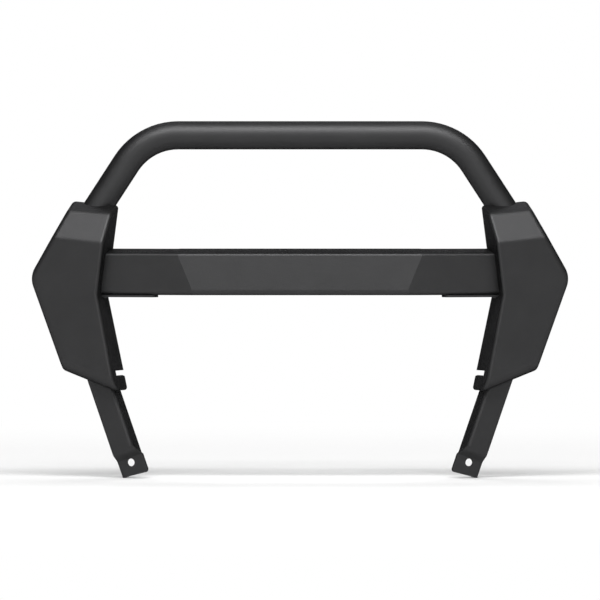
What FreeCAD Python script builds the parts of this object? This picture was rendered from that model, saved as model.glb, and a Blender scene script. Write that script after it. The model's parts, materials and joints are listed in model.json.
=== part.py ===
"""Front bumper for an off-road buggy: a bent tube hoop, two formed side covers, a crossbar and two legs.

All sizes are in millimetres. The bumper faces -Y, +Z is up and +X is the viewer's right from the front.
Heights are measured from the line through the two lower bolt holes. At the end everything is lowered,
so that the origin lies between the four upper bolts, on the face that seats on the frame.
"""
import os
from math import cos, degrees, radians, sin, tan

import FreeCAD, Part
from FreeCAD import Vector

# Hoop tube
tube_od = 38.1
tube_wall = 2.0
tube_bend_radius = 83.0
hoop_height = 438.7
hoop_half_straight = 164.0
hoop_arm_angle = 33.0
tube_foot_along = 160.0
plug_head = 3.0
plug_depth = 14.0
plug_clearance = 0.3

# Side covers, drawn in the plane of their face, which is swept back from the waist outwards
sweep = 17.0
cover_face_y = -120.0
cover_x = 272.0
cover_wall = 3.0
waist_height = 226.6
inner_top_lean = -7.3
inner_foot_lean = 11.0
shoulder_across = 94.9
shoulder_height = 248.6
outer_top_lean = -30.6
outer_foot_lean = 20.7
shoulder_radius = 30.0
foot_height = 103.7
foot_slope = 20.8
foot_radius = 18.0
facet_height = 295.2
facet_slope = 5.5
facet_lean = 28.0
facet_length = 44.0
facet_bend_radius = 12.0
crown_slope = 22.0
crown_bend_radius = 10.0
cover_outer_radius = 9.0
cover_inner_radius = 4.0
cover_depth_top = 50.0
cover_depth_waist = 46.0
cover_depth_foot = 62.0
tube_notch_gap = 1.0
leg_notch_gap = 1.5
leg_notch_top = 138.0
slit_height = 119.2
slit_width = 6.8
slit_start = 20.0
slit_length = 26.0

# Legs, drawn along their own axis from the lower bolt hole
leg_lean = 19.8
leg_wall = 4.0
leg_face_depth = 22.0
leg_outer = 19.0
leg_inner = -13.0
leg_flange_depth = 28.0
leg_bend_radius = 5.0
leg_flange_top = 150.0
leg_plate_top = 232.0
leg_corner_radius = 8.0
joggle_depth = 9.0
joggle_top = 14.7
joggle_foot = 5.7
joggle_radius = 4.0
tab_start = 20.0
tab_inner = -19.5
tab_end = -15.5
tab_end_slope = 5.7
tab_corner_radius = 4.0
lower_hole_x = 225.6
lower_hole_radius = 5.25

# Ribs that tie each cover to the tube and to the leg
rib_thickness = 3.0
upper_rib_height = 305.0
lower_rib_height = 126.0
rib_setback = 3.0

# Crossbar
bar_wall = 3.0
bar_foot_height = 224.6
bar_face_top = 280.0
bar_setback = 18.0
bar_depth = 28.0
bar_crown_slope = 13.0
bar_bend_x = 153.8
bar_bend_height = 255.0
bar_centre_lean = 7.1
bar_top_radius = 4.0
bar_foot_radius = 7.0
bar_tab_length = 74.0
bar_tab_thickness = 3.0
bar_tab_inset = 2.0
bar_tab_depth = 24.0
bar_tab_radius = 6.0

# Lugs on the tube, and the rear brackets that are bolted to them
lug_thickness = 6.0
lug_x = 297.0
lug_height = 52.0
lug_end_margin = 10.0
lug_corner_radius = 8.0
bracket_wall = 5.0
bracket_bend_radius = 5.0
bracket_tube_gap = 1.5
bracket_flange = 44.0
bracket_height = 76.0
bracket_corner_radius = 6.0
upper_bolt_height = 205.0
upper_bolt_spread = 40.0
upper_slot_x = 281.0
upper_slot_radius = 5.5
upper_slot_length = 17.0

# Fasteners between lug and bracket
bolt_diameter = 8.0
bolt_hole_gap = 0.5
bolt_edge = 9.5
bolt_spread = 26.0
bolt_tip = 2.0
hex_width = 13.0
head_height = 5.3
nut_height = 6.8
washer_radius = 8.0
washer_thickness = 1.6
washer_hole_gap = 0.4

# Values that more than one piece uses
reach = 800.0
near = 0.01
zero = Vector(0, 0, 0)
right = Vector(1, 0, 0)
back = Vector(0, 1, 0)
up = Vector(0, 0, 1)
tube_radius = tube_od / 2
tube_depth = leg_face_depth + leg_wall + tube_radius
tab_seat = leg_face_depth + joggle_depth + leg_wall
leg_foot = (lower_hole_x - cover_x + tab_seat * sin(radians(sweep))) / cos(radians(sweep))


def save(name, shape):
    """Lower a finished piece to the part's origin and write it."""
    shape = shape.copy()
    shape.translate(Vector(0, 0, -upper_bolt_height))
    shape.exportStep(os.path.join("parts", name + ".step"))


def mirrored(shape):
    return shape.mirror(zero, right)


def save_pair(name, shape):
    """Write a piece of the right side and its mirror image on the left."""
    save("right_" + name, shape)
    save("left_" + name, mirrored(shape))


def from_cover(shape):
    """Bring a shape from the swept plane of the cover's face to its place on the bumper."""
    shape = shape.copy()
    shape.rotate(zero, up, sweep)
    shape.translate(Vector(cover_x, cover_face_y, 0))
    return shape


def leg_to_cover(shape):
    """Bring a shape from the leg's own axis to the plane of the cover's face."""
    shape = shape.copy()
    shape.rotate(zero, back, leg_lean)
    shape.translate(Vector(leg_foot, 0, 0))
    return shape


def leg_point(across, depth, along):
    """Where a point in the leg's own frame lies on the bumper."""
    return from_cover(leg_to_cover(Part.Vertex(across, depth, along))).Point


def block(low, high):
    """A box between two corners."""
    size = high - low
    return Part.makeBox(size.x, size.y, size.z, low)


def beyond(point, normal):
    """Everything on the side of a plane that its normal points to."""
    corner = Vector(-2 * reach, -2 * reach, 0)
    side = Part.makeBox(4 * reach, 4 * reach, 4 * reach, corner)
    side.Placement = FreeCAD.Placement(point, FreeCAD.Rotation(up, normal))
    return side


def rounded_path(points, radii):
    """Straight runs joined by tangent arcs."""
    edges = []
    start = points[0]
    for before, corner, after, radius in zip(points, points[1:], points[2:], radii):
        arrive = (corner - before).normalize()
        leave = (after - corner).normalize()
        half_turn = arrive.getAngle(leave) / 2
        first = corner - arrive * (radius * tan(half_turn))
        last = corner + leave * (radius * tan(half_turn))
        inward = (leave - arrive).normalize()
        middle = corner + inward * (radius / cos(half_turn) - radius)
        edges.append(Part.LineSegment(start, first).toShape())
        edges.append(Part.Arc(first, middle, last).toShape())
        start = last
    edges.append(Part.LineSegment(start, points[-1]).toShape())
    return Part.Wire(edges)


def round_bar(path, radius):
    """A solid round bar along straight runs and arcs."""
    runs = []
    for edge in path.Edges:
        start, end = [v.Point for v in edge.Vertexes]
        if isinstance(edge.Curve, Part.Line):
            runs.append(Part.makeCylinder(radius, edge.Length, start, end - start))
        else:
            disc = Part.Face(Part.Wire(Part.makeCircle(radius, start, edge.tangentAt(edge.FirstParameter))))
            turn = degrees(edge.Length / edge.Curve.Radius)
            runs.append(disc.revolve(edge.Curve.Center, edge.Curve.Axis, turn))
    return runs[0].fuse(runs[1:])


def rounded_block(low, high, radius):
    """A box with the upright edge at its high corner rounded."""
    box = block(low, high)
    corner = Vector(high.x, high.y, (low.z + high.z) / 2)
    return box.makeFillet(radius, [e for e in box.Edges if e.CenterOfMass.distanceToPoint(corner) < near])


def shrunk(face, inset):
    """A flat face with all its sides moved inwards."""
    return face.makeOffset2D(-inset, 2) if inset else face


def outline_prism(outline, start, depth, inset=0.0, drift=0.0):
    """An outline of (across, height) points taken backwards, drifting outwards by drift a mm."""
    points = [Vector(x + drift * start, start, z) for x, z in outline]
    face = shrunk(Part.Face(Part.makePolygon(points + points[:1])), inset)
    return face.extrude(Vector(drift * depth, depth, 0))


def profile_prism(wire, inset=0.0, slope=0.0, height=0.0):
    """A closed profile in the plane of depth and height, taken across, rising outwards."""
    prism = shrunk(Part.Face(wire), inset).extrude(Vector(2 * reach, 0, 0))
    prism.translate(Vector(-reach, 0, 0))
    prism.rotate(zero, back, -slope)
    prism.translate(Vector(0, 0, height))
    return prism


def facing(shape, direction, least=0.6):
    """The faces whose outward normal points along a direction."""
    found = []
    for face in shape.Faces:
        middle = face.CenterOfMass
        u, v = face.Surface.parameter(middle)
        if face.normalAt(u, v).dot(direction) > least:
            found.append(face)
    return found


def rim_edges(shape, direction, open_side=back):
    """Edges between the walls that face a direction and all but the open side."""
    walls = facing(shape, direction)
    rear = facing(shape, open_side)
    edges = []
    for edge in shape.Edges:
        owners = shape.ancestorsOfType(edge, Part.Face)
        on_wall = [f for f in owners if any(f.isSame(w) for w in walls)]
        on_rear = [f for f in owners if any(f.isSame(r) for r in rear)]
        if len(on_wall) == 1 and not on_rear:
            edges.append(edge)
    return edges


def shared_edges(shape, ones, others):
    """Edges between a face of one list and a face of another."""
    found = []
    for edge in shape.Edges:
        owners = shape.ancestorsOfType(edge, Part.Face)
        of_ones = any(f.isSame(g) for f in owners for g in ones)
        if of_ones and any(f.isSame(g) for f in owners for g in others):
            found.append(edge)
    return found


def hoop_points():
    """Corners of the hoop's centreline, from its left foot over the top to its right foot."""
    arm = radians(hoop_arm_angle)
    shoulder_x = hoop_half_straight + tube_bend_radius * tan((radians(90) - arm) / 2)
    across = (leg_inner + leg_outer) / 2
    foot = leg_point(across, tube_depth, tube_foot_along)
    climb = leg_point(across, tube_depth, tube_foot_along + reach) - foot
    climb = climb * (1 / climb.z)
    # The arm comes down to the line of the foot where both have the same x
    rise = (shoulder_x + (hoop_height - foot.z) * tan(arm) - foot.x) / (climb.x + tan(arm))
    elbow = foot + climb * rise
    shoulder = Vector(shoulder_x, elbow.y, hoop_height)
    left_side = [Vector(-p.x, p.y, p.z) for p in (foot, elbow, shoulder)]
    return left_side + [shoulder, elbow, foot]


def hoop_bar(points, radius):
    return round_bar(rounded_path(points, [tube_bend_radius] * 4), radius)


def tube_plug(foot, inward):
    """Plastic plug pressed into the open foot of the tube."""
    head = Part.makeCylinder(tube_radius - tube_wall / 2, plug_head, foot - inward * plug_head, inward)
    stem_radius = tube_radius - tube_wall - plug_clearance
    return head.fuse(Part.makeCylinder(stem_radius, plug_depth, foot, inward)).removeSplitter()


def leaning(corner, lean, height):
    """The point at a height on the line that leaves a corner and leans outwards by lean degrees."""
    return (corner[0] + (height - corner[1]) * tan(radians(lean)), height)


def inner_side(inset):
    """Everything outward of the cover's two inner walls."""
    waist = (0, waist_height)
    top = leaning(waist, inner_top_lean, reach)
    foot = leaning(waist, inner_foot_lean, 0)
    return outline_prism([top, waist, foot, (reach, 0), (reach, reach)], -reach, 2 * reach, inset)


def outer_side(inset):
    """Everything inward of the cover's two outer walls, which run straight back."""
    shoulder = (shoulder_across, shoulder_height)
    top = leaning(shoulder, outer_top_lean, reach)
    foot = leaning(shoulder, outer_foot_lean, 0)
    outline = [foot, shoulder, top, (-reach, reach), (-reach, 0)]
    # A wall that drifts is thinner than its offset in the plane of the face
    offset = inset / cos(radians(sweep))
    side = outline_prism(outline, -reach / 2, 1.5 * reach, offset, tan(radians(sweep)))
    ridge = max(facing(side, right, 0.8), key=lambda f: f.CenterOfMass.z)
    ridge = min(ridge.Edges, key=lambda e: e.CenterOfMass.z)
    return side.makeFillet(shoulder_radius - inset, [ridge])


def upper_side(inset):
    """Everything behind the face, the facet that leans back above it, and the crown."""
    lean = radians(facet_lean)
    slope = radians(crown_slope)
    crown = Vector(0, facet_length * sin(lean), facet_length * cos(lean))
    end = crown + Vector(0, reach * cos(slope), reach * sin(slope))
    points = [Vector(0, 0, -reach), zero, crown, end]
    path = rounded_path(points, [facet_bend_radius, crown_bend_radius])
    far = Part.makePolygon([end, Vector(0, 1.5 * reach, -reach), points[0]])
    return profile_prism(Part.Wire(path.Edges + far.Edges), inset, facet_slope, facet_height)


def lower_side(inset):
    """Everything above the rolled foot of the cover."""
    points = [Vector(0, 0, reach), zero, Vector(0, reach, 0)]
    path = rounded_path(points, [foot_radius])
    far = Part.makePolygon([points[-1], Vector(0, reach, reach), points[0]])
    return profile_prism(Part.Wire(path.Edges + far.Edges), inset, foot_slope, foot_height)


def front_of_rear(setback=0.0):
    """Everything in front of the cover's rear edge, which is nearest at the waist."""
    top = Vector(0, cover_depth_top - setback, hoop_height)
    waist = Vector(0, cover_depth_waist - setback, waist_height)
    foot = Vector(0, cover_depth_foot - setback, 0)
    corners = [top, waist, foot, Vector(0, -reach, 0), Vector(0, -reach, hoop_height)]
    return profile_prism(Part.makePolygon(corners + corners[:1]))


def cover_form(inset=0.0, setback=0.0):
    """The cover's outside as a solid with its bends, or its inside when inset by the wall."""
    form = inner_side(inset).common(outer_side(inset)).common(upper_side(inset))
    form = form.common(lower_side(inset)).common(front_of_rear(setback))
    form = form.makeFillet(cover_outer_radius - inset, rim_edges(form, right))
    # The tight fold of the inner walls is sharp on its inside
    return form if inset else form.makeFillet(cover_inner_radius, rim_edges(form, right * -1))


def slit():
    """Relief slit in the inner wall, along the rolled foot."""
    cutter = block(Vector(-slit_length, slit_start, -slit_width / 2),
                   Vector(slit_length / 2, reach, slit_width / 2))
    cutter.rotate(zero, back, -foot_slope)
    wall_x, wall_z = leaning((0, waist_height), inner_foot_lean, slit_height)
    cutter.translate(Vector(wall_x, 0, wall_z))
    return cutter


def leg_space():
    """Room for the leg through the cover's foot."""
    low = Vector(leg_inner - leg_notch_gap, leg_face_depth - leg_notch_gap, -reach)
    high = Vector(leg_outer + leg_notch_gap, reach, leg_notch_top)
    return leg_to_cover(block(low, high))


def side_cover(sheet, points):
    """The folded sheet with its notches, in its place on the bumper."""
    sheet = from_cover(sheet.cut(slit()).cut(leg_space()))
    arm = points[4] - points[3]
    notch = Part.makeCylinder(tube_radius + tube_notch_gap, arm.Length / 2, points[3] + arm * 0.25, arm)
    return sheet.cut(notch)


def rib(inside, height, core):
    """A level plate that fills the cover from wall to wall, round the tube and the leg."""
    slab = block(Vector(-reach, -reach, height), Vector(reach, reach, height + rib_thickness))
    plate = slab.common(inside).common(front_of_rear(rib_setback))
    low = Vector(leg_inner, leg_face_depth, -reach)
    channel = block(low, Vector(leg_outer, reach, leg_flange_top))
    return from_cover(plate.cut(leg_to_cover(channel))).cut(core)


def leg_outline():
    """The leg's face plate, which widens to the mounting tab below the joggle."""
    end_drop = (leg_outer - tab_inner) * tan(radians(tab_end_slope))
    return [
        (leg_inner, leg_plate_top),
        (leg_outer, leg_plate_top),
        (leg_outer, tab_end),
        (tab_inner, tab_end - end_drop),
        (tab_inner, joggle_foot),
        (leg_inner, tab_start)]


def leg_front(inset):
    """Everything behind the leg's front, which steps back at the joggle."""
    points = [
        Vector(0, leg_face_depth, reach),
        Vector(0, leg_face_depth, joggle_top),
        Vector(0, leg_face_depth + joggle_depth, joggle_foot),
        Vector(0, leg_face_depth + joggle_depth, -reach)]
    path = rounded_path(points, [joggle_radius + leg_wall, joggle_radius])
    far_corners = [Vector(0, 2 * reach, -reach), Vector(0, 2 * reach, reach)]
    far = Part.makePolygon([points[-1]] + far_corners + [points[0]])
    return profile_prism(Part.Wire(path.Edges + far.Edges), inset)


def leg_form(inset, rear):
    """The channel's outside as a solid with its two folds, or its sharp inside when inset by the wall."""
    low = Vector(leg_inner + inset, 0, -reach / 2)
    high = Vector(leg_outer - inset, rear, leg_flange_top)
    form = leg_front(inset).common(block(low, high))
    if inset:
        return form
    front = facing(form, back * -1)
    sides = facing(form, right) + facing(form, right * -1)
    return form.makeFillet(leg_bend_radius, shared_edges(form, front, sides))


def corner_edges(shape, thickness, low, high):
    """Edges straight through a sheet, within a box."""
    edges = [e for e in shape.Edges if abs(e.Length - thickness) < near]
    room = FreeCAD.BoundBox(low, high)
    return [e for e in edges if room.isInside(e.CenterOfMass)]


def leg():
    """A folded channel whose face runs up to the tube and whose foot is joggled back to a tab."""
    rear = leg_face_depth + leg_flange_depth
    outline = outline_prism(leg_outline(), 0, reach)
    plate = leg_front(0).cut(leg_front(leg_wall)).common(outline)
    top = corner_edges(plate, leg_wall, Vector(-reach, 0, leg_flange_top), Vector(reach, reach, reach))
    foot = corner_edges(plate, leg_wall, Vector(-reach, 0, -reach), Vector(0, reach, tab_end))
    plate = plate.makeFillet(leg_corner_radius, top).makeFillet(tab_corner_radius, foot)
    above = block(Vector(-reach, 0, leg_flange_top), Vector(reach, reach, reach))
    tab_side = block(Vector(-reach, 0, -reach), Vector(0, reach, tab_start))
    channel = leg_form(0, rear).cut(leg_form(leg_wall, reach)).common(outline)
    channel = channel.cut(block(Vector(-reach, 0, -reach), Vector(0, reach, joggle_foot)))
    channel = channel.fuse(plate.common(above)).removeSplitter().fuse(plate.common(tab_side))
    return channel.cut(Part.makeCylinder(lower_hole_radius, reach, zero, back))


def bar_bend_y():
    """Where the middle face is, at the height at which the bend's place is given."""
    side = from_cover(Part.Vertex(0, bar_setback, 0)).Point
    return side.y + (bar_bend_x - side.x) * tan(radians(sweep))


def bar_faces(offset):
    """A point and the normal of the crossbar's three faces, moved back by an offset."""
    side = from_cover(Part.Vertex(0, bar_setback + offset, 0)).Point
    turn = radians(sweep)
    lean = radians(bar_centre_lean)
    middle = Vector(0, -cos(lean), sin(lean))
    return [
        (side, Vector(sin(turn), -cos(turn), 0)),
        (Vector(-side.x, side.y, side.z), Vector(-sin(turn), -cos(turn), 0)),
        (Vector(0, bar_bend_y(), bar_bend_height) - middle * offset, middle)]


def bar_length(lean, inset):
    """An endless straight length of the crossbar's outside, or of its inside when inset."""
    tilt = tan(radians(lean))
    slope = radians(bar_crown_slope)
    top = Vector(0, (bar_face_top - bar_bend_height) * tilt, bar_face_top)
    foot = Vector(0, (bar_foot_height - bar_bend_height) * tilt, bar_foot_height)
    crown_end = top + Vector(0, reach * cos(slope), reach * sin(slope))
    foot_end = foot + back * reach
    path = rounded_path([crown_end, top, foot, foot_end], [bar_top_radius, bar_foot_radius])
    far = Part.makePolygon([foot_end, crown_end])
    return profile_prism(Part.Wire(path.Edges + far.Edges), inset)


def bar_form(inset, rear):
    """The three lengths of the crossbar where they meet, from the front faces back to a depth."""
    side = bar_length(0, inset)
    side.translate(back * bar_setback)
    side = from_cover(side)
    form = bar_length(bar_centre_lean, inset)
    form.translate(back * bar_bend_y())
    form = form.common(side).common(mirrored(side))
    behind = block(Vector(-reach, -reach, -reach), Vector(reach, reach, reach))
    for point, normal in bar_faces(rear):
        behind = behind.cut(beyond(point, normal))
    return form.cut(behind)


def crossbar():
    """A folded channel in three straight lengths, open at the back and at both ends."""
    channel = bar_form(0, bar_depth).cut(bar_form(bar_wall, bar_depth + bar_wall))
    cover = from_cover(inner_side(0))
    return channel.cut(cover).cut(mirrored(cover))


def bar_tab():
    """The ledge on the cover's inner wall that carries one end of the crossbar."""
    front = bar_setback + bar_tab_inset
    low = Vector(-bar_tab_length, front, bar_foot_height - bar_tab_thickness)
    high = Vector(bar_tab_length, front + bar_tab_depth, bar_foot_height)
    ledge = block(low, high).cut(inner_side(0))
    free_end = Vector(low.x + bar_tab_radius, reach, reach)
    corners = corner_edges(ledge, bar_tab_thickness, Vector(-reach, 0, 0), free_end)
    return from_cover(ledge.makeFillet(bar_tab_radius, corners))


def bracket_front():
    """Where the bracket's web ends, just behind the tube."""
    elbow = hoop_points()[4]
    return elbow.y + tube_radius + bracket_tube_gap


def bolt_heights(spread):
    return [upper_bolt_height - spread / 2, upper_bolt_height + spread / 2]


def bolt_starts(x):
    """Where the axes of the two bolts between lug and bracket are, at a place across."""
    return [Vector(x, bracket_front() + bolt_edge, z) for z in bolt_heights(bolt_spread)]


def bolt_bores():
    """Clearance bores for the two bolts."""
    radius = bolt_diameter / 2 + bolt_hole_gap
    return Part.makeCompound([Part.makeCylinder(radius, reach, start, right) for start in bolt_starts(0)])


def tube_lug(core):
    """A plate welded upright to the back of the tube."""
    elbow, foot = hoop_points()[4:]
    centre = foot + (elbow - foot) * ((upper_bolt_height - foot.z) / (elbow.z - foot.z))
    end = bracket_front() + bolt_edge + lug_end_margin
    low = Vector(lug_x, centre.y, upper_bolt_height - lug_height / 2)
    high = Vector(lug_x + lug_thickness, end, upper_bolt_height + lug_height / 2)
    plate = block(low, high)
    free_end = Vector(0, end - lug_corner_radius, 0)
    corners = corner_edges(plate, lug_thickness, free_end, Vector(reach, reach, reach))
    return plate.makeFillet(lug_corner_radius, corners).cut(core).cut(bolt_bores())


def slot(x, z):
    """A level slot through the bracket's flange."""
    half = upper_slot_length / 2 - upper_slot_radius
    ends = [Vector(x - half, -reach, z), Vector(x + half, -reach, z)]
    rounds = [Part.makeCylinder(upper_slot_radius, 2 * reach, end, back) for end in ends]
    low = ends[0] - up * upper_slot_radius
    high = ends[1] + up * upper_slot_radius + back * 2 * reach
    return block(low, high).fuse(rounds).removeSplitter()


def rear_bracket():
    """An angle with slots for the frame's bolts, bolted to the lug."""
    web = lug_x + lug_thickness
    flange_end = web + bracket_wall - bracket_flange
    half_height = up * (bracket_height / 2)
    front = Vector(flange_end, bracket_front(), upper_bolt_height)
    seat = Vector(web + bracket_wall, 0, upper_bolt_height)
    outside = rounded_block(front - half_height, seat + half_height, bracket_bend_radius + bracket_wall)
    inside = rounded_block(Vector(0, -reach, 0), Vector(web, -bracket_wall, reach), bracket_bend_radius)
    angle = outside.cut(inside)
    web_end = Vector(reach, front.y + bracket_corner_radius, reach)
    flange_room = Vector(flange_end + bracket_corner_radius, reach, reach)
    corners = corner_edges(angle, bracket_wall, Vector(0, -reach, 0), web_end)
    corners += corner_edges(angle, bracket_wall, Vector(0, -reach, 0), flange_room)
    angle = angle.makeFillet(bracket_corner_radius, corners)
    for height in bolt_heights(upper_bolt_spread):
        angle = angle.cut(slot(upper_slot_x, height))
    return angle.cut(bolt_bores())


def hexagon(start, length):
    """A hexagon bar along +X."""
    corner = hex_width / 2 / cos(radians(30))
    turns = [radians(60 * k) for k in range(7)]
    ring = [start + Vector(0, corner * cos(t), corner * sin(t)) for t in turns]
    return Part.Face(Part.makePolygon(ring)).extrude(right * length)


def washer(start):
    disc = Part.makeCylinder(washer_radius, washer_thickness, start, right)
    bore = Part.makeCylinder(bolt_diameter / 2 + washer_hole_gap, washer_thickness, start, right)
    return disc.cut(bore)


def fasteners(lug_face):
    """One bolt with its nut and the washer under it, through lug and bracket."""
    nut_start = lug_face - right * (washer_thickness + nut_height)
    head_start = lug_face + right * (lug_thickness + bracket_wall)
    shank_start = nut_start - right * bolt_tip
    shank_length = head_start.x - shank_start.x
    shank = Part.makeCylinder(bolt_diameter / 2, shank_length, shank_start, right)
    bolt = hexagon(head_start, head_height).fuse(shank).removeSplitter()
    bore = Part.makeCylinder(bolt_diameter / 2, nut_height, nut_start, right)
    nut = hexagon(nut_start, nut_height).cut(bore)
    return bolt, nut, washer(lug_face - right * washer_thickness)


def save_fasteners():
    """Write each kind of fastener as one group of separate pieces."""
    sets = [fasteners(start) for start in bolt_starts(lug_x)]
    kinds = {
        "bracket_bolts": [pieces[0] for pieces in sets],
        "bracket_nuts": [pieces[1] for pieces in sets],
        "bracket_washers": [pieces[2] for pieces in sets]}
    for name, pieces in kinds.items():
        save(name, Part.makeCompound(pieces + [mirrored(p) for p in pieces]))


def main():
    os.makedirs("parts", exist_ok=True)
    corners = hoop_points()
    core = hoop_bar(corners, tube_radius)
    foot = corners[-1]
    save("hoop_tube", core.cut(hoop_bar(corners, tube_radius - tube_wall)))
    save_pair("tube_plug", tube_plug(foot, (corners[-2] - foot).normalize()))
    inside = cover_form(cover_wall, -cover_wall)
    save_pair("side_cover", side_cover(cover_form().cut(inside), corners))
    save_pair("upper_rib", rib(inside, upper_rib_height, core))
    save_pair("lower_rib", rib(inside, lower_rib_height, core))
    save_pair("leg", from_cover(leg_to_cover(leg())))
    save("crossbar", crossbar())
    save_pair("crossbar_ledge", bar_tab())
    save_pair("tube_lug", tube_lug(core))
    save_pair("rear_bracket", rear_bracket())
    save_fasteners()


if __name__ == "__main__":
    main()
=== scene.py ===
"""Looks of a front bumper: black powder coat, weld beads, plated fasteners and the studio."""

import json
from math import cos, radians, sin, tau

import bmesh
import bpy
from mathutils import Matrix, Vector
from mathutils.bvhtree import BVHTree


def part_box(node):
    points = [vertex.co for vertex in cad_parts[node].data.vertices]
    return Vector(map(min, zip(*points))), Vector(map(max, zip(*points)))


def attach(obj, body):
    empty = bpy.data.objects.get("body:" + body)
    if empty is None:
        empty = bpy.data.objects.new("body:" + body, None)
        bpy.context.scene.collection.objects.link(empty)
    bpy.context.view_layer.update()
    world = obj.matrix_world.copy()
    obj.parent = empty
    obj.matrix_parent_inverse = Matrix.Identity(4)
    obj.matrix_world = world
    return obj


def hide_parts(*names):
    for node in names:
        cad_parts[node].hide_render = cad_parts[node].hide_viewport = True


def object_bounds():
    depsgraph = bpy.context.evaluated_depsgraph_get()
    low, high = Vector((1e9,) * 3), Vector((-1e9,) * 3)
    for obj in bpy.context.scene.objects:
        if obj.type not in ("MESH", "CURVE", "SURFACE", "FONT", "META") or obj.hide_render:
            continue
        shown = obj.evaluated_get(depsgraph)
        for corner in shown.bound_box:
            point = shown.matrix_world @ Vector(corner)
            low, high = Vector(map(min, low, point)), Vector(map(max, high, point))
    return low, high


bl_info = {
    "name": "Front bumper dressing",
    "version": (1, 0, 0),
    "blender": (4, 5, 0),
    "location": "3D View > Sidebar > Bumper",
    "description": "Finishes, weld beads, fasteners and studio for a powder coated front bumper",
    "category": "Object",
}

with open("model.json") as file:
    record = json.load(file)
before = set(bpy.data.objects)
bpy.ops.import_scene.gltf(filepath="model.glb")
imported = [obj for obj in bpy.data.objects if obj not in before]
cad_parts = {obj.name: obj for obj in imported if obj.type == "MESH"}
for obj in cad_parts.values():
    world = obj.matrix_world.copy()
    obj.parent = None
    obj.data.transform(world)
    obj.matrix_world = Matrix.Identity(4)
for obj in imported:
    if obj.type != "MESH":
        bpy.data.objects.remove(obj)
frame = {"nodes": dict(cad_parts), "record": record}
cad_low, cad_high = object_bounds()

MM = 0.001
UP = Vector((0, 0, 1))
ROOT = "root"
FLOOR_Z = cad_low[2]
SAME_PLACE = 1e-6  # Points closer than this are one point
PATCH_SIZE = 6.0  # Width of the patches of tone, in flow sizes

# Weld beads
RIPPLE_POINTS = 4  # Points along one ripple
BEAD_END = 0.45  # Share of the radius at a bead's ends
UNEVEN_SHARE, UNEVEN_TURN = 0.4, 1.7  # Depth of the uneven wave in ripples, and its radians a point
CUT_EDGE = 6  # Millimetres left bare at each end of the crossbar's seam
INTO_BAR = 3 * MM  # From the crossbar's slanted end to where its channel is whole

# The grooves between leg and tube, measured from the hole at the leg's foot
LEG_LEAN = radians(19.8)
GROOVE_FORWARD = 6.1  # Millimetres forwards to the grooves' middle
TOUCH_OFFSET = 3  # Millimetres across to the line where the tube touches the leg
GROOVE_OFFSETS = (-8, 8)  # Millimetres across from that line to each groove
GROOVE_HEIGHTS = (165, 226)  # Millimetres up along the leg to a groove's ends

# Fasteners
TURN_STEPS = 48  # Steps round a turned piece
BLANK_STEPS = 72  # Steps round the blank that chamfers a hexagon
HEXAGON_FACE = 0.48  # Radius of a hexagon's round end face, in widths across flats
CHAMFER_RISE = 0.55  # Height of a hexagon's chamfer for its width
NUT_MOUTH = 0.7 * MM  # Chamfer of a nut's bore
THREAD_STEPS = 36  # Steps in one turn of the thread
THREAD_SINK = 0.1 * MM  # Depth to which the ridge's foot sits in the core
THREAD_SHARES = (0.02, 0.45, 0.55, 0.98)  # Foot, crest, crest and foot of the ridge, in pitches
WASHER_PLAY = 0.4 * MM  # Gap between shank and washer

# Studio
FLOOR_STEPS = 96  # Corners of the round floor
FLOOR_FADE = (0.45, 2.0)  # Metres from the middle between which the floor turns plain white
HORIZON_FADE = (3, 10)  # Degrees above the horizon between which the white background ends
LAMP_AIM = (0, -0.05, 0)


class FinishSettings(bpy.types.PropertyGroup):
    """Colours and surface detail of the three finishes."""
    coat_colour: bpy.props.FloatVectorProperty(
        name="Coat colour", description="Colour of the powder coat",
        default=(0.050, 0.050, 0.051), size=3, subtype="COLOR", min=0, max=1)
    coat_roughness: bpy.props.FloatProperty(
        name="Coat roughness", description="Roughness of the powder coat between its grains",
        default=0.50, min=0, max=1, subtype="FACTOR")
    grain_size: bpy.props.FloatProperty(
        name="Grain size", description="Width of one grain of the textured coat",
        default=0.8 * MM, min=0.1 * MM, max=5 * MM, subtype="DISTANCE", unit="LENGTH")
    grain_height: bpy.props.FloatProperty(
        name="Grain height", description="Height of the coat's grain",
        default=0.14 * MM, min=0, max=MM, subtype="DISTANCE", unit="LENGTH")
    flow_size: bpy.props.FloatProperty(
        name="Flow size", description="Width of the slow waves in the cured coat",
        default=5 * MM, min=MM, max=100 * MM, subtype="DISTANCE", unit="LENGTH")
    flow_height: bpy.props.FloatProperty(
        name="Flow height", description="Height of the slow waves in the cured coat",
        default=0.06 * MM, min=0, max=MM, subtype="DISTANCE", unit="LENGTH")
    plating_colour: bpy.props.FloatVectorProperty(
        name="Plating colour", description="Colour of the zinc plated fasteners",
        default=(0.55, 0.56, 0.57), size=3, subtype="COLOR", min=0, max=1)
    plastic_colour: bpy.props.FloatVectorProperty(
        name="Plastic colour", description="Colour of the tube plugs",
        default=(0.030, 0.030, 0.032), size=3, subtype="COLOR", min=0, max=1)


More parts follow.
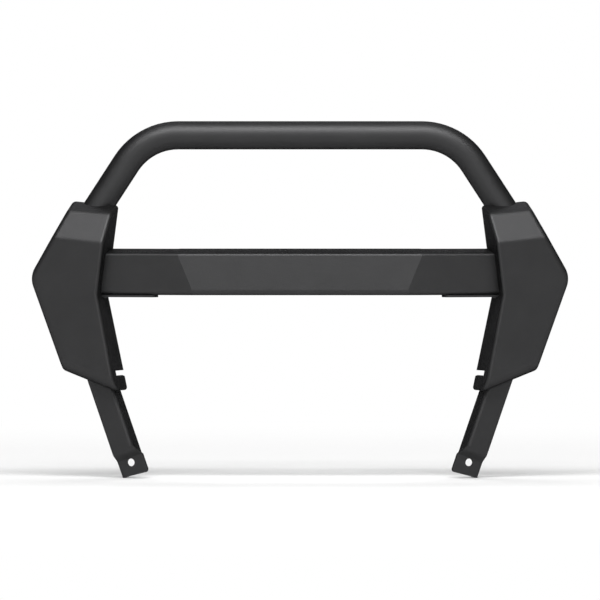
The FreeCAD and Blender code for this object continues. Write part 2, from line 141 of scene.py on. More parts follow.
class WeldSettings(bpy.types.PropertyGroup):
    """Sizes of the weld beads."""
    bead_radius: bpy.props.FloatProperty(
        name="Bead radius", description="Radius of a bead's round section",
        default=2.0 * MM, min=0.5 * MM, max=6 * MM, subtype="DISTANCE", unit="LENGTH")
    ripple_pitch: bpy.props.FloatProperty(
        name="Ripple pitch", description="Distance between the ripples of a bead",
        default=2.2 * MM, min=0.5 * MM, max=10 * MM, subtype="DISTANCE", unit="LENGTH")
    ripple_depth: bpy.props.FloatProperty(
        name="Ripple depth", description="Share of the bead's radius by which its ripples swell",
        default=0.10, min=0, max=0.5, subtype="FACTOR")
    stitch_length: bpy.props.FloatProperty(
        name="Stitch length", description="Length of each short bead along a wall",
        default=18 * MM, min=5 * MM, max=100 * MM, subtype="DISTANCE", unit="LENGTH")
    stitch_gap: bpy.props.FloatProperty(
        name="Stitch gap", description="Gap between two short beads",
        default=22 * MM, min=5 * MM, max=100 * MM, subtype="DISTANCE", unit="LENGTH")


class FastenerSettings(bpy.types.PropertyGroup):
    """Detail of the bolts, nuts and washers."""
    head_height: bpy.props.FloatProperty(
        name="Head height", description="Height of a bolt's head",
        default=5.3 * MM, min=MM, max=20 * MM, subtype="DISTANCE", unit="LENGTH")
    thread_pitch: bpy.props.FloatProperty(
        name="Thread pitch", description="Distance between two turns of the thread",
        default=1.25 * MM, min=0.3 * MM, max=4 * MM, subtype="DISTANCE", unit="LENGTH")
    thread_depth: bpy.props.FloatProperty(
        name="Thread depth", description="Depth of the thread below the shank's surface",
        default=0.70 * MM, min=0.1 * MM, max=3 * MM, subtype="DISTANCE", unit="LENGTH")
    shank_radius: bpy.props.FloatProperty(
        name="Shank radius", description="Outer radius of the thread and of the shank",
        default=4.0 * MM, min=MM, max=20 * MM, subtype="DISTANCE", unit="LENGTH")
    edge_break: bpy.props.FloatProperty(
        name="Edge break", description="Width of the bevel on a washer's edges",
        default=0.25 * MM, min=0, max=2 * MM, subtype="DISTANCE", unit="LENGTH")


class StudioSettings(bpy.types.PropertyGroup):
    """Floor, lamps and camera."""
    floor_radius: bpy.props.FloatProperty(
        name="Floor radius", description="Radius of the round floor",
        default=40, min=5, max=200, subtype="DISTANCE", unit="LENGTH")
    floor_colour: bpy.props.FloatVectorProperty(
        name="Floor colour", description="Colour of the floor",
        default=(0.66, 0.66, 0.66), size=3, subtype="COLOR", min=0, max=1)
    key_power: bpy.props.FloatProperty(
        name="Key power", description="Power of the wide lamp above the front",
        default=170, min=0, max=5000, unit="POWER")
    fill_power: bpy.props.FloatProperty(
        name="Fill power", description="Power of the weaker lamp in front",
        default=22, min=0, max=5000, unit="POWER")
    back_power: bpy.props.FloatProperty(
        name="Back power", description="Power of the wide lamp above the back",
        default=50, min=0, max=5000, unit="POWER")
    rear_power: bpy.props.FloatProperty(
        name="Rear power", description="Power of each low lamp behind the bumper",
        default=75, min=0, max=5000, unit="POWER")
    world_strength: bpy.props.FloatProperty(
        name="World strength", description="Strength of the even light from all round",
        default=0.20, min=0, max=5)
    camera_distance: bpy.props.FloatProperty(
        name="Camera distance", description="How far the camera stands in front of the bumper",
        default=8.5, min=1, max=50, subtype="DISTANCE", unit="LENGTH")
    camera_height: bpy.props.FloatProperty(
        name="Camera height", description="Height of the camera above the upper bolts",
        default=0.150, min=-1, max=5, subtype="DISTANCE", unit="LENGTH")
    view_width: bpy.props.FloatProperty(
        name="View width", description="Width that the picture covers at the bumper",
        default=0.80, min=0.1, max=5, subtype="DISTANCE", unit="LENGTH")


def new_group(name, inputs, outputs):
    """An empty shader node group with its sockets."""
    group = bpy.data.node_groups.new(name, "ShaderNodeTree")
    for label, kind, value in inputs:
        socket = group.interface.new_socket(name=label, in_out="INPUT", socket_type=kind)
        socket.default_value = value
    for label, kind in outputs:
        group.interface.new_socket(name=label, in_out="OUTPUT", socket_type=kind)
    return group


def nodes_with(slot):
    """The names of the CAD nodes that have one material slot."""
    return [row["node"] for row in frame["record"]["subparts"] if row["material_slot"] == slot]


def wire(tree, source, target):
    """Link an output socket to an input socket."""
    tree.links.new(source, target)


def maths(tree, operation, first, second, clamp=False):
    """A maths node fed with sockets or numbers."""
    node = tree.nodes.new("ShaderNodeMath")
    node.operation = operation
    node.use_clamp = clamp
    for slot, value in enumerate((first, second)):
        if isinstance(value, bpy.types.NodeSocket):
            wire(tree, value, node.inputs[slot])
        else:
            node.inputs[slot].default_value = value
    return node.outputs[0]


def noise(tree, place, wavelength, detail, rough=0.5):
    """Noise whose grains are about one wavelength across, given as a socket in metres."""
    node = tree.nodes.new("ShaderNodeTexNoise")
    node.inputs["Detail"].default_value = detail
    node.inputs["Roughness"].default_value = rough
    wire(tree, place, node.inputs["Vector"])
    wire(tree, maths(tree, "DIVIDE", 1.0, wavelength), node.inputs["Scale"])
    return node.outputs["Fac"]


def grain_group():
    """Height, tone and roughness of a grained, slightly wavy surface."""
    group = new_group(
        "surface_grain",
        [("Place", "NodeSocketVector", (0, 0, 0)), ("Colour", "NodeSocketColor", (0, 0, 0, 1)),
         ("Tone Change", "NodeSocketFloat", 0.1), ("Roughness", "NodeSocketFloat", 0.5),
         ("Roughness Change", "NodeSocketFloat", 0.1), ("Grain Size", "NodeSocketFloat", MM),
         ("Grain Height", "NodeSocketFloat", 0.1 * MM), ("Flow Size", "NodeSocketFloat", 10 * MM),
         ("Flow Height", "NodeSocketFloat", 0.1 * MM)],
        [("Colour", "NodeSocketColor"), ("Roughness", "NodeSocketFloat"),
         ("Height", "NodeSocketFloat")])
    start = group.nodes.new("NodeGroupInput").outputs
    end = group.nodes.new("NodeGroupOutput").inputs
    grain = noise(group, start["Place"], start["Grain Size"], 3.0, 0.55)
    flow = noise(group, start["Place"], start["Flow Size"], 1.0)
    patch_size = maths(group, "MULTIPLY", start["Flow Size"], PATCH_SIZE)
    patches = noise(group, start["Place"], patch_size, 3.0)
    height = maths(group, "ADD", maths(group, "MULTIPLY", grain, start["Grain Height"]),
                   maths(group, "MULTIPLY", flow, start["Flow Height"]))
    wire(group, height, end["Height"])
    # Half grain and half patches, moved so that its mean is about zero
    halves = maths(group, "ADD", maths(group, "MULTIPLY", grain, 0.5),
                   maths(group, "MULTIPLY", patches, 0.5))
    mixed = maths(group, "SUBTRACT", halves, 0.5)
    tone = maths(group, "ADD", maths(group, "MULTIPLY", mixed, start["Tone Change"]), 1.0)
    scale = group.nodes.new("ShaderNodeVectorMath")
    scale.operation = "SCALE"
    wire(group, start["Colour"], scale.inputs[0])
    wire(group, tone, scale.inputs["Scale"])
    wire(group, scale.outputs["Vector"], end["Colour"])
    rough = maths(group, "MULTIPLY", mixed, start["Roughness Change"])
    wire(group, maths(group, "ADD", rough, start["Roughness"], clamp=True), end["Roughness"])
    return group


def grained_material(name, group, values, metallic=0.0, edge_tint=1.0):
    """A material with the grain group's colour, roughness and relief, and a tint at its edges."""
    material = bpy.data.materials.new(name)
    material.use_nodes = True
    tree = material.node_tree
    shader = tree.nodes["Principled BSDF"]
    shader.inputs["Metallic"].default_value = metallic
    shader.inputs["Specular Tint"].default_value = (edge_tint, edge_tint, edge_tint, 1)
    place = tree.nodes.new("ShaderNodeTexCoord").outputs["Object"]
    node = tree.nodes.new("ShaderNodeGroup")
    node.node_tree = group
    wire(tree, place, node.inputs["Place"])
    for label, value in values.items():
        node.inputs[label].default_value = value
    bump = tree.nodes.new("ShaderNodeBump")
    # The group's heights are in metres, so they are taken as they are
    bump.inputs["Strength"].default_value = 1.0
    bump.inputs["Distance"].default_value = 1.0
    wire(tree, node.outputs["Height"], bump.inputs["Height"])
    wire(tree, node.outputs["Colour"], shader.inputs["Base Color"])
    wire(tree, node.outputs["Roughness"], shader.inputs["Roughness"])
    wire(tree, bump.outputs["Normal"], shader.inputs["Normal"])
    return material


def powder_coat(group, finish):
    """Fine-textured satin black powder coat, with a dark tint against shine at grazing angles."""
    return grained_material("black_powder_coat", group, {
        "Colour": (*finish.coat_colour, 1), "Tone Change": 0.35,
        "Roughness": finish.coat_roughness, "Roughness Change": 0.18,
        "Grain Size": finish.grain_size, "Grain Height": finish.grain_height,
        "Flow Size": finish.flow_size, "Flow Height": finish.flow_height},
        metallic=1.0, edge_tint=0.2)


def zinc_plating(group, finish):
    """Bright zinc plating with faint cloudiness."""
    return grained_material("zinc_plating", group, {
        "Colour": (*finish.plating_colour, 1), "Tone Change": 0.25,
        "Roughness": 0.42, "Roughness Change": 0.30,
        "Grain Size": 0.5 * MM, "Grain Height": 0.006 * MM,
        "Flow Size": 3 * MM, "Flow Height": 0.01 * MM}, metallic=1.0)


def moulded_plastic(group, finish):
    """Matt black plastic with a fine moulded grain."""
    return grained_material("black_plastic", group, {
        "Colour": (*finish.plastic_colour, 1), "Tone Change": 0.15,
        "Roughness": 0.62, "Roughness Change": 0.10,
        "Grain Size": 0.6 * MM, "Grain Height": 0.03 * MM,
        "Flow Size": 20 * MM, "Flow Height": 0.02 * MM})


def coat(obj, material):
    """Put one material on the whole object."""
    obj.data.materials.clear()
    obj.data.materials.append(material)


def add_object(name, mesh):
    """A new object that shows a mesh, linked to the scene."""
    obj = bpy.data.objects.new(name, mesh)
    bpy.context.scene.collection.objects.link(obj)
    return obj


def merged_copy(node):
    """A bmesh of a CAD node with its loose triangles joined."""
    mesh = bmesh.new()
    mesh.from_mesh(frame["nodes"][node].data)
    bmesh.ops.remove_doubles(mesh, verts=mesh.verts, dist=SAME_PLACE)
    return mesh


class SeamFinder:
    """Finds where the sharp edges of one node lie on the surface of another."""
    step = 1.5 * MM
    touch = 0.25 * MM
    least_turn = radians(25)

    def __init__(self):
        self.surfaces = {}

    def surface(self, node):
        """The search tree of a node's surface, made once."""
        if node not in self.surfaces:
            mesh = merged_copy(node)
            self.surfaces[node] = BVHTree.FromBMesh(mesh)
            mesh.free()
        return self.surfaces[node]

    def near(self, node, point):
        """Whether a point touches a node's surface."""
        found = self.surface(node).find_nearest(point, self.touch)
        return found[0] is not None

    def in_metal(self, node, point):
        """Whether a point lies inside a node's solid."""
        place, normal, *_ = self.surface(node).find_nearest(point)
        return (point - place).dot(normal) < 0

    def edges(self, node, other, keep=None):
        """Pairs of points along the seam, all of them or those whose middle keep accepts."""
        mesh = merged_copy(node)
        found = []
        for edge in mesh.edges:
            if len(edge.link_faces) != 2 or edge.calc_face_angle() < self.least_turn:
                continue
            start, end = [v.co.copy() for v in edge.verts]
            count = max(1, round((end - start).length / self.step))
            points = [start.lerp(end, k / count) for k in range(count + 1)]
            on_other = [self.near(other, p) for p in points]
            for k in range(count):
                middle = (points[k] + points[k + 1]) / 2
                if on_other[k] and on_other[k + 1] and (keep is None or keep(middle)):
                    found.append((points[k], points[k + 1]))
        mesh.free()
        return found


def rounded(point):
    """A point's coordinates to the thousandth of a millimetre, so that equal places match."""
    return tuple(round(c, 6) for c in point)


def chains(pairs):
    """Join pairs of points into lines of points."""
    ends = {}
    for index, pair in enumerate(pairs):
        for point in pair:
            ends.setdefault(rounded(point), []).append(index)
    unused = set(range(len(pairs)))
    lines = []

    def other_end(index, key):
        first, last = pairs[index]
        return last if rounded(first) == key else first

    def grow(line):
        while True:
            key = rounded(line[-1])
            onward = [i for i in ends[key] if i in unused]
            if not onward:
                return line
            unused.discard(onward[0])
            line.append(other_end(onward[0], key))

    while unused:
        index = min(unused)
        unused.discard(index)
        line = grow([pairs[index][0], pairs[index][1]])
        lines.append(grow(line[::-1]))
    return lines


def run_length(line):
    """The length along a line of points."""
    return sum((b - a).length for a, b in zip(line, line[1:]))


def spaced(line, step):
    """Points an even step apart along a line."""
    lengths = [(b - a).length for a, b in zip(line, line[1:])]
    total = sum(lengths)
    count = max(2, round(total / step))
    points = []
    at, run = 0, 0.0
    for k in range(count + 1):
        goal = total * k / count
        while at < len(lengths) - 1 and run + lengths[at] < goal:
            run += lengths[at]
            at += 1
        share = (goal - run) / lengths[at] if lengths[at] else 0
        points.append(line[at].lerp(line[at + 1], min(1, share)))
    return points


def stitches(line, length, gap):
    """Cut a line of points into short lengths with gaps between them."""
    points = spaced(line, MM)
    period = round((length + gap) / MM)
    taken = round(length / MM)
    first = max(0, (len(points) % period) // 2)
    cuts = [points[k:k + taken] for k in range(first, len(points), period)]
    return [cut for cut in cuts if len(cut) > taken / 2]


def bead(name, lines, weld):
    """Rippled round beads along lines, as one mesh."""
    curve = bpy.data.curves.new(name, "CURVE")
    curve.dimensions = "3D"
    curve.bevel_depth = weld.bead_radius
    curve.bevel_resolution = 2
    curve.use_fill_caps = True
    step = weld.ripple_pitch / RIPPLE_POINTS
    for line in lines:
        points = spaced(line, step)
        spline = curve.splines.new("POLY")
        spline.points.add(len(points) - 1)
        for k, (target, place) in enumerate(zip(spline.points, points)):
            target.co = (*place, 1)
            ripples_in = min(k, len(points) - 1 - k) / RIPPLE_POINTS
            wave = cos(tau * k / RIPPLE_POINTS) + UNEVEN_SHARE * sin(UNEVEN_TURN * k)
            taper = min(1, BEAD_END + (1 - BEAD_END) * ripples_in)
            target.radius = taper * (1 + weld.ripple_depth * wave)
    holder = bpy.data.objects.new(name, curve)
    bpy.context.scene.collection.objects.link(holder)
    data = bpy.data.meshes.new_from_object(holder)
    bpy.data.objects.remove(holder)
    data.name = name
    mesh = bmesh.new()
    mesh.from_mesh(data)
    bmesh.ops.remove_doubles(mesh, verts=mesh.verts, dist=SAME_PLACE)
    bmesh.ops.recalc_face_normals(mesh, faces=mesh.faces)
    for face in mesh.faces:
        face.smooth = True
    mesh.to_mesh(data)
    mesh.free()
    return add_object(name, data)


class BUMPER_OT_finishes(bpy.types.Operator):
    """Give every pressed, turned and moulded piece its finish"""
    bl_idname = "bumper.finishes"
    bl_label = "Finishes"

    def execute(self, context):
        finish = context.scene.bumper_finish
        group = grain_group()
        jobs = (("powder_coat", powder_coat), ("plated_steel", zinc_plating),
                ("black_plastic", moulded_plastic))
        for slot, make in jobs:
            material = make(group, finish)
            for node in nodes_with(slot):
                coat(frame["nodes"][node], material)
        return {"FINISHED"}


class BUMPER_OT_welds(bpy.types.Operator):
    """Lay the weld beads, full ones at tube and legs and stitches along the covers' walls"""
    bl_idname = "bumper.welds"
    bl_label = "Weld beads"

    def execute(self, context):
        weld = context.scene.bumper_weld
        lines = weld_lines(weld)
        for side, sign in (("right", 1), ("left", -1)):
            placed = [[Vector((sign * p.x, p.y, p.z)) for p in line] for line in lines]
            piece = bead(side + "_weld_beads", placed, weld)
            coat(piece, bpy.data.materials["black_powder_coat"])
            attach(piece, ROOT)
        return {"FINISHED"}


def weld_lines(weld):
    """The lines of the right side's beads, on the seams between its pieces."""
    finder = SeamFinder()
    tube, cover = "hoop_tube", "right_side_cover"
    full = (("right_tube_lug", tube), ("right_upper_rib", tube), ("right_lower_rib", "right_leg"))
    broken = (("right_upper_rib", cover), ("right_lower_rib", cover),
              ("right_crossbar_ledge", cover))
    lines = leg_seams()
    bar_end = finder.edges("crossbar", cover, lambda p: p.x > 0 and in_channel(finder, p))
    for line in chains(bar_end):
        # The ends of this line cross the cut edge of the sheet, where no bead goes
        lines.append(spaced(line, MM)[CUT_EDGE:-CUT_EDGE])
    for node, other in full:
        lines += chains(finder.edges(node, other))
    for node, other in broken:
        for line in chains(finder.edges(node, other)):
            lines += stitches(line, weld.stitch_length, weld.stitch_gap)
    return [line for line in lines if len(line) > 1 and run_length(line) > 2 * weld.bead_radius]


def leg_seams():
    """Two lines in the grooves between the right leg's plate and the tube behind it."""
    mount = next(m for m in frame["record"]["mounts"] if m["name"] == "lower_bolt_right")
    rear = -Vector(mount["axis"])
    level = Vector((rear.y, -rear.x, 0))
    along = level * sin(LEG_LEAN) + UP * cos(LEG_LEAN)
    across = level * cos(LEG_LEAN) - UP * sin(LEG_LEAN)
    start = Vector(mount["pos_m"]) - rear * GROOVE_FORWARD * MM
    return [[start + across * (TOUCH_OFFSET + offset) * MM + along * height * MM
             for height in GROOVE_HEIGHTS] for offset in GROOVE_OFFSETS]


def in_channel(finder, point):
    """Whether a point on the crossbar's right end lies on the inside of its channel."""
    low, high = [Vector(corner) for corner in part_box("crossbar")]
    middle = Vector((point.x, high.y, (low.z + high.z) / 2))
    # The end is slanted, so the point tested is taken into the bar's length first
    inward = Vector((-INTO_BAR, 0, 0))
    return not finder.in_metal("crossbar", point + inward + (middle - point).normalized() * MM)


class BUMPER_OT_fasteners(bpy.types.Operator):
    """Turn the plain bolts, nuts and washers into detailed ones"""
    bl_idname = "bumper.fasteners"
    bl_label = "Fasteners"

    def execute(self, context):
        fastener = context.scene.bumper_fastener
        makers = (("bracket_bolts", "threaded_bolts", bolt_mesh),
                  ("bracket_nuts", "chamfered_nuts", nut_mesh),
                  ("bracket_washers", "flat_washers", washer_mesh))
        for node, name, make in makers:
            whole = bmesh.new()
            for low, high in islands(node):
                make(whole, low, high, fastener)
            piece = to_object(whole, name)
            coat(piece, bpy.data.materials["zinc_plating"])
            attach(piece, ROOT)
            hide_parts(node)
        return {"FINISHED"}


def islands(node):
    """The box of each separate solid in a node."""
    mesh = merged_copy(node)
    unseen = set(mesh.verts)
    boxes = []
    while unseen:
        group, waiting = set(), [unseen.pop()]
        while waiting:
            vert = waiting.pop()
            group.add(vert)
            for edge in vert.link_edges:
                other = edge.other_vert(vert)
                if other in unseen:
                    unseen.discard(other)
                    waiting.append(other)
        low = Vector([min(v.co[k] for v in group) for k in range(3)])
        high = Vector([max(v.co[k] for v in group) for k in range(3)])
        boxes.append((low, high))
    mesh.free()
    return sorted(boxes, key=lambda box: tuple(round(c, 5) for c in box[0]))


def place_along(start, direction):
    """Matrix that stands a piece made along +Z on a point, along +X or -X."""
    turn = UP.rotation_difference(Vector((direction, 0, 0)))
    return Matrix.Translation(start) @ turn.to_matrix().to_4x4()


def profile_edges(mesh, profile, closed):
    """The vertices and edges of a profile of (radius, height) points, as an open line or a ring."""
    verts = [mesh.verts.new((radius, 0, height)) for radius, height in profile]
    following = verts[1:] + verts[:1] if closed else verts[1:]
    return verts + [mesh.edges.new(pair) for pair in zip(verts, following)]


def turned(profile, steps=TURN_STEPS, closed=False):
    """A bmesh turned about Z from a closed ring, or a line that starts and ends on the axis."""
    mesh = bmesh.new()
    bmesh.ops.spin(mesh, geom=profile_edges(mesh, profile, closed), cent=(0, 0, 0), axis=(0, 0, 1),
                   dvec=(0, 0, 0), angle=tau, steps=steps, use_merge=True, use_duplicate=False)
    bmesh.ops.remove_doubles(mesh, verts=mesh.verts, dist=SAME_PLACE)
    bmesh.ops.recalc_face_normals(mesh, faces=mesh.faces)
    return mesh


def to_object(mesh, name):
    """A new object of a bmesh, which is dropped."""
    data = bpy.data.meshes.new(name)
    mesh.to_mesh(data)
    mesh.free()
    return add_object(name, data)


def chamfered_hexagon(flats, height, bore):
    """A bmesh of a hexagon with turned chamfers at both ends, along +Z from the origin."""
    corner = flats / 2 / cos(radians(30))
    face = HEXAGON_FACE * flats
    drop = (corner - face) * CHAMFER_RISE
    profile = [(0, 0), (face, 0), (corner, drop), (corner, height - drop), (face, height),
               (0, height)]
    blank = to_object(turned(profile, BLANK_STEPS), "blank")
    prism = bmesh.new()
    bmesh.ops.create_circle(prism, cap_ends=True, radius=corner, segments=6)
    top = bmesh.ops.extrude_face_region(prism, geom=prism.faces[:])["geom"]
    verts = [g for g in top if isinstance(g, bmesh.types.BMVert)]
    bmesh.ops.translate(prism, verts=verts, vec=(0, 0, height))
    bmesh.ops.recalc_face_normals(prism, faces=prism.faces)
    body = to_object(prism, "hexagon")
    cut(body, blank, "INTERSECT")
    if bore:
        # The bore's tool stands out by a margin at both ends
        mouth, margin = NUT_MOUTH, MM
        wide = bore + mouth + margin
        profile = [(0, -margin), (wide, -margin), (bore, mouth), (bore, height - mouth),
                   (wide, height + margin), (0, height + margin)]
        cut(body, to_object(turned(profile), "bore"), "DIFFERENCE")
    finished = bmesh.new()
    finished.from_mesh(body.data)
    bpy.data.objects.remove(body)
    return finished


def cut(body, tool, operation):
    """Cut a mesh object with a second one or intersect the two, and drop the second."""
    modifier = body.modifiers.new(operation, "BOOLEAN")
    modifier.operation = operation
    modifier.solver = "EXACT"
    modifier.object = tool
    depsgraph = bpy.context.evaluated_depsgraph_get()
    data = bpy.data.meshes.new_from_object(body.evaluated_get(depsgraph))
    body.modifiers.clear()
    body.data = data
    bpy.data.objects.remove(tool)


def add_to(whole, part, matrix):
    """Move a bmesh by a matrix into another one and drop it."""
    bmesh.ops.transform(part, matrix=matrix, verts=part.verts)
    data = bpy.data.meshes.new("part")
    part.to_mesh(data)
    part.free()
    whole.from_mesh(data)
    bpy.data.meshes.remove(data)


def threaded_shank(length, fastener):
    """A shank along +Z with a helical thread and a chamfered end."""
    radius, depth, pitch = fastener.shank_radius, fastener.thread_depth, fastener.thread_pitch
    core = radius - depth
    mesh = turned([(0, 0), (core, 0), (core, length - depth), (core - depth, length), (0, length)])
    ridge = bmesh.new()
    foot = core - THREAD_SINK
    radii = (foot, radius, radius, foot)
    profile = [(r, share * pitch) for r, share in zip(radii, THREAD_SHARES)]
    turns = int((length - depth) / pitch) - 1
    bmesh.ops.spin(ridge, geom=profile_edges(ridge, profile, closed=True), cent=(0, 0, 0),
                   axis=(0, 0, 1), dvec=(0, 0, pitch / THREAD_STEPS), angle=tau * turns,
                   steps=THREAD_STEPS * turns, use_duplicate=False)
    bmesh.ops.remove_doubles(ridge, verts=ridge.verts, dist=SAME_PLACE)
    bmesh.ops.holes_fill(ridge, edges=[e for e in ridge.edges if e.is_boundary], sides=4)
    bmesh.ops.recalc_face_normals(ridge, faces=ridge.faces)
    add_to(mesh, ridge, Matrix())
    return mesh


def bolt_mesh(whole, low, high, fastener):
    """A bolt whose head is on the side away from the middle of the bumper."""
    outward = 1 if low.x > 0 else -1
    middle = (low + high) / 2
    head_end = high.x if outward > 0 else low.x
    head_seat = Vector((head_end - outward * fastener.head_height, middle.y, middle.z))
    head = chamfered_hexagon(high.z - low.z, fastener.head_height, 0)
    add_to(whole, head, place_along(head_seat, outward))
    length = high.x - low.x - fastener.head_height
    add_to(whole, threaded_shank(length, fastener), place_along(head_seat, -outward))


def nut_mesh(whole, low, high, fastener):
    """A nut with its bore along X."""
    middle = (low + high) / 2
    start = Vector((low.x, middle.y, middle.z))
    nut = chamfered_hexagon(high.z - low.z, high.x - low.x, fastener.shank_radius)
    add_to(whole, nut, place_along(start, 1))


def washer_mesh(whole, low, high, fastener):
    """A flat ring with its edges broken."""
    middle = (low + high) / 2
    thick, outer = high.x - low.x, (high.z - low.z) / 2
    inner, edge = fastener.shank_radius + WASHER_PLAY, fastener.edge_break
    corners = [(inner, edge), (inner + edge, 0), (outer - edge, 0), (outer, edge),
               (outer, thick - edge), (outer - edge, thick), (inner + edge, thick),
               (inner, thick - edge)]
    start = Vector((low.x, middle.y, middle.z))
    add_to(whole, turned(corners, closed=True), place_along(start, 1))


class BUMPER_OT_studio(bpy.types.Operator):
    """Build the floor, the lamps and the camera"""
    bl_idname = "bumper.studio"
    bl_label = "Studio"

    def execute(self, context):
        studio = context.scene.bumper_studio
        add_floor(studio)
        add_world(studio)
        add_lamps(studio)
        add_camera(studio)
        context.scene.view_settings.view_transform = "Standard"
        return {"FINISHED"}


def add_floor(studio):
    """A wide round floor at the height of the legs' ends."""
    mesh = bmesh.new()
    bmesh.ops.create_circle(mesh, cap_ends=True, radius=studio.floor_radius, segments=FLOOR_STEPS)
    bmesh.ops.translate(mesh, verts=mesh.verts, vec=(0, 0, FLOOR_Z))
    bmesh.ops.recalc_face_normals(mesh, faces=mesh.faces)
    for face in mesh.faces:
        if face.normal.z < 0:
            face.normal_flip()
    floor = to_object(mesh, "floor")
    coat(floor, floor_material(studio))


def seen_rays(tree):
    """One for the rays by which the camera sees a thing, also in gloss and through glass."""
    path = tree.nodes.new("ShaderNodeLightPath")
    camera, gloss, glass = [path.outputs[f"Is {kind} Ray"]
                            for kind in ("Camera", "Glossy", "Transmission")]
    return maths(tree, "ADD", maths(tree, "ADD", camera, gloss, clamp=True), glass, clamp=True)


def smooth_fade(tree, value, reach, results):
    """A value that goes smoothly from one result to the other while the input crosses its reach."""
    fade = tree.nodes.new("ShaderNodeMapRange")
    fade.interpolation_type = "SMOOTHSTEP"
    for label, number in zip(("From Min", "From Max", "To Min", "To Max"), (*reach, *results)):
        fade.inputs[label].default_value = number
    wire(tree, value, fade.inputs["Value"])
    return fade.outputs["Result"]


def coordinates(tree, kind):
    """The X, Y and Z sockets of one kind of coordinates."""
    apart = tree.nodes.new("ShaderNodeSeparateXYZ")
    wire(tree, tree.nodes.new("ShaderNodeTexCoord").outputs[kind], apart.inputs[0])
    return apart.outputs


def show_mix(tree, share, first, second, output_kind):
    """Send a mix of two shaders to the tree's output."""
    mix = tree.nodes.new("ShaderNodeMixShader")
    wire(tree, share, mix.inputs["Fac"])
    wire(tree, first.outputs[0], mix.inputs[1])
    wire(tree, second.outputs[0], mix.inputs[2])
    output = tree.nodes.new(output_kind)
    wire(tree, mix.outputs[0], output.inputs["Surface"])


def floor_material(studio):
    """Pale matt floor that shows as plain white away from the bumper."""
    material = bpy.data.materials.new("studio_floor")
    material.use_nodes = True
    tree = material.node_tree
    tree.nodes.clear()
    matt = tree.nodes.new("ShaderNodeBsdfDiffuse")
    matt.inputs["Color"].default_value = (*studio.floor_colour, 1)
    white = tree.nodes.new("ShaderNodeEmission")
    white.inputs["Color"].default_value = (1, 1, 1, 1)
    white.inputs["Strength"].default_value = 1.0
    place = coordinates(tree, "Object")
    squares = maths(tree, "ADD", maths(tree, "POWER", place["X"], 2.0),
                    maths(tree, "POWER", place["Y"], 2.0))
    from_middle = maths(tree, "POWER", squares, 0.5)
    plain = smooth_fade(tree, from_middle, FLOOR_FADE, (0.0, 1.0))
    share = maths(tree, "MULTIPLY", seen_rays(tree), plain)
    show_mix(tree, share, matt, white, "ShaderNodeOutputMaterial")
    return material


def add_world(studio):
    """Even light from all round, seen by camera and gloss as white to just above the horizon."""
    world = bpy.data.worlds.new("studio_world")
    bpy.context.scene.world = world
    world.use_nodes = True
    tree = world.node_tree
    tree.nodes.clear()
    soft = tree.nodes.new("ShaderNodeBackground")
    soft.inputs["Strength"].default_value = studio.world_strength
    white = tree.nodes.new("ShaderNodeBackground")
    reach = [sin(radians(angle)) for angle in HORIZON_FADE]
    height = coordinates(tree, "Generated")["Z"]
    shown = smooth_fade(tree, height, reach, (1.0, studio.world_strength))
    wire(tree, shown, white.inputs["Color"])
    show_mix(tree, seen_rays(tree), soft, white, "ShaderNodeOutputWorld")


def add_lamp(name, place, width, height, power):
    """A rectangular soft lamp that faces the bumper."""
    lamp = bpy.data.lights.new(name, "AREA")
    lamp.shape = "RECTANGLE"
    lamp.size = width
    lamp.size_y = height
    lamp.energy = power
    holder = bpy.data.objects.new(name, lamp)
    bpy.context.scene.collection.objects.link(holder)
    holder.location = place
    holder.rotation_euler = (Vector(LAMP_AIM) - Vector(place)).to_track_quat("-Z", "Y").to_euler()


def add_lamps(studio):
    """A wide lamp above the front, a weaker and lower one farther out, and three behind."""
    add_lamp("key_lamp", (0, -2.05, 2.85), 3.4, 1.5, studio.key_power)
    add_lamp("fill_lamp", (0, -4.6, 1.4), 1.6, 1.0, studio.fill_power)
    add_lamp("back_lamp", (0, 1.9, 3.2), 3.2, 1.2, studio.back_power)
    for sign, name in ((1, "right_rear_lamp"), (-1, "left_rear_lamp")):
        add_lamp(name, (sign * 1.7, 4.0, 1.1), 2.4, 1.6, studio.rear_power)


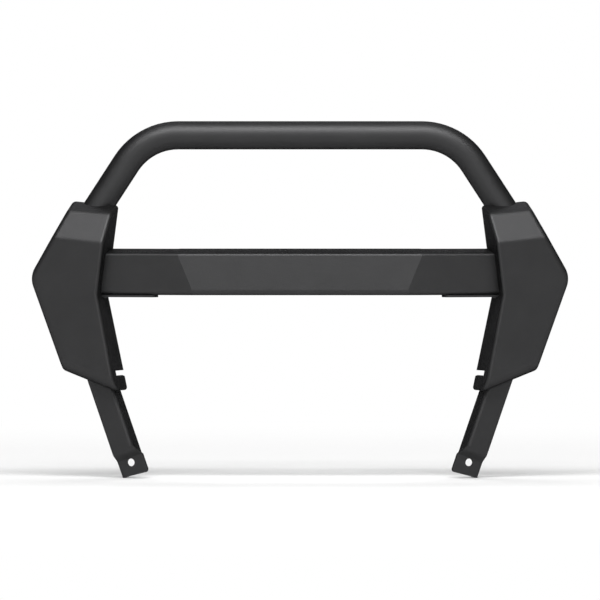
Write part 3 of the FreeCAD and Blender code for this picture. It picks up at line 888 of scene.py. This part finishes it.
def add_camera(studio):
    """The photograph's level, frontal view, with a longer lens."""
    data = bpy.data.cameras.new("camera")
    data.sensor_width = 36
    data.lens = data.sensor_width * studio.camera_distance / studio.view_width
    data.clip_end = 100
    camera = bpy.data.objects.new("camera", data)
    bpy.context.scene.collection.objects.link(camera)
    middle = (Vector(cad_low) + Vector(cad_high)) / 2
    front = Vector((0, cad_low[1], middle.z))
    camera.location = (0, cad_low[1] - studio.camera_distance, studio.camera_height)
    camera.rotation_euler = (front - camera.location).to_track_quat("-Z", "Y").to_euler()
    bpy.context.scene.camera = camera


class BUMPER_PT_panel(bpy.types.Panel):
    """Steps that dress the bumper"""
    bl_idname = "BUMPER_PT_panel"
    bl_label = "Front bumper"
    bl_space_type = "VIEW_3D"
    bl_region_type = "UI"
    bl_category = "Bumper"

    def draw(self, context):
        for settings in ("bumper_finish", "bumper_weld", "bumper_fastener", "bumper_studio"):
            group = getattr(context.scene, settings)
            column = self.layout.column()
            for name in group.__annotations__:
                column.prop(group, name)
        for step in STEPS:
            self.layout.operator(step.bl_idname)


STEPS = (BUMPER_OT_finishes, BUMPER_OT_welds, BUMPER_OT_fasteners, BUMPER_OT_studio)
CLASSES = (FinishSettings, WeldSettings, FastenerSettings, StudioSettings, *STEPS, BUMPER_PT_panel)


def register():
    for cls in CLASSES:
        bpy.utils.register_class(cls)
    bpy.types.Scene.bumper_finish = bpy.props.PointerProperty(type=FinishSettings)
    bpy.types.Scene.bumper_weld = bpy.props.PointerProperty(type=WeldSettings)
    bpy.types.Scene.bumper_fastener = bpy.props.PointerProperty(type=FastenerSettings)
    bpy.types.Scene.bumper_studio = bpy.props.PointerProperty(type=StudioSettings)


def unregister():
    del bpy.types.Scene.bumper_studio
    del bpy.types.Scene.bumper_fastener
    del bpy.types.Scene.bumper_weld
    del bpy.types.Scene.bumper_finish
    for cls in reversed(CLASSES):
        bpy.utils.unregister_class(cls)


def main():
    """Run every step in order."""
    register()
    bpy.ops.bumper.finishes()
    bpy.ops.bumper.welds()
    bpy.ops.bumper.fasteners()
    bpy.ops.bumper.studio()


if __name__ == "__main__":
    main()
